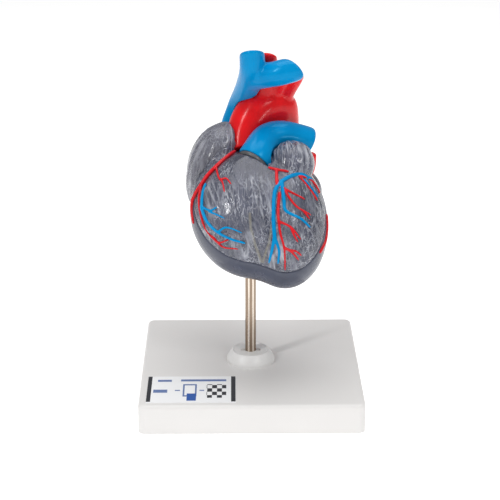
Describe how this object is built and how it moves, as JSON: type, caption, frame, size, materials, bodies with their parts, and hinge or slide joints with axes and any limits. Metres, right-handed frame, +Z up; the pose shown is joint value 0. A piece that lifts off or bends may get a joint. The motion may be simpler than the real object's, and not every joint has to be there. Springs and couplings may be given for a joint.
{
  "type": "human heart anatomy model",
  "caption": "Hollow heart model in clear plastic with coloured vessels; the front wall pulls off and the heart lifts off its rod and square base.",
  "frame": {"origin": "middle of the stand's underside", "axes": "+Z up along the rod, the heart's front faces -Y, its left side is at +X"},
  "size_m": [0.12, 0.12, 0.1897],
  "materials": {
    "base_white": "gloss",
    "base_underside": "matt",
    "screw_steel": "satin",
    "collar_plastic": "gloss",
    "rod_steel": "satin",
    "label_film": "satin",
    "socket_plastic": "gloss",
    "pin_plastic": "satin",
    "clear_rear": "clear gloss",
    "clear_front": "clear gloss",
    "clear_atrium": "clear gloss",
    "artery_red": "gloss paint",
    "vein_blue": "gloss paint",
    "valve_white": "satin",
    "clear_muscle": "clear gloss",
    "conduction_yellow": "gloss paint"
  },
  "bodies": {
    "stand": {"base_plate": "base_white", "base_cover": "base_underside", "cover_screws": "screw_steel", "rod_collar": "collar_plastic", "label": "label_film"},
    "rod": {"support_rod": "rod_steel"},
    "heart": {"rod_socket": "socket_plastic", "locating_pins": "pin_plastic", "rear_heart_wall": "clear_rear", "right_atrium": "clear_atrium", "left_atrium": "clear_atrium", "left_auricle": "clear_atrium", "aorta": "artery_red", "pulmonary_trunk": "vein_blue", "superior_vena_cava": "vein_blue", "inferior_vena_cava": "vein_blue", "left_pulmonary_veins": "artery_red", "right_pulmonary_veins": "artery_red", "tricuspid_valve": "valve_white", "mitral_valve": "valve_white", "aortic_valve": "valve_white", "pulmonary_valve": "valve_white", "right_papillary_muscles": "clear_muscle", "left_papillary_muscles": "clear_muscle", "sinoatrial_node": "conduction_yellow", "atrioventricular_node": "conduction_yellow", "internodal_tracts": "conduction_yellow", "right_bundle_branch": "conduction_yellow", "left_bundle_branch": "conduction_yellow", "right_marginal_artery": "artery_red", "left_marginal_artery": "artery_red", "posterior_artery": "artery_red", "middle_cardiac_vein": "vein_blue", "coronary_sinus": "vein_blue"},
    "front_wall": {"front_heart_wall": "clear_front", "right_coronary_artery": "artery_red", "left_anterior_artery": "artery_red", "left_diagonal_arteries": "artery_red", "great_cardiac_vein": "vein_blue", "small_cardiac_vein": "vein_blue"}
  },
  "joints": [
    {"name": "rod_swivel", "type": "hinge", "parent": "stand", "child": "rod", "pos_m": [0, 0, 0.016], "axis": [0, 0, 1], "continuous": true},
    {"name": "heart_lift", "type": "slide", "parent": "rod", "child": "heart", "axis": [0, 0, 1], "range_m": [0, 0.04]},
    {"name": "front_wall_pull", "type": "slide", "parent": "heart", "child": "front_wall", "axis": [0, -0.7071, 0.7071], "range_m": [0, 0.05]}
  ]
}
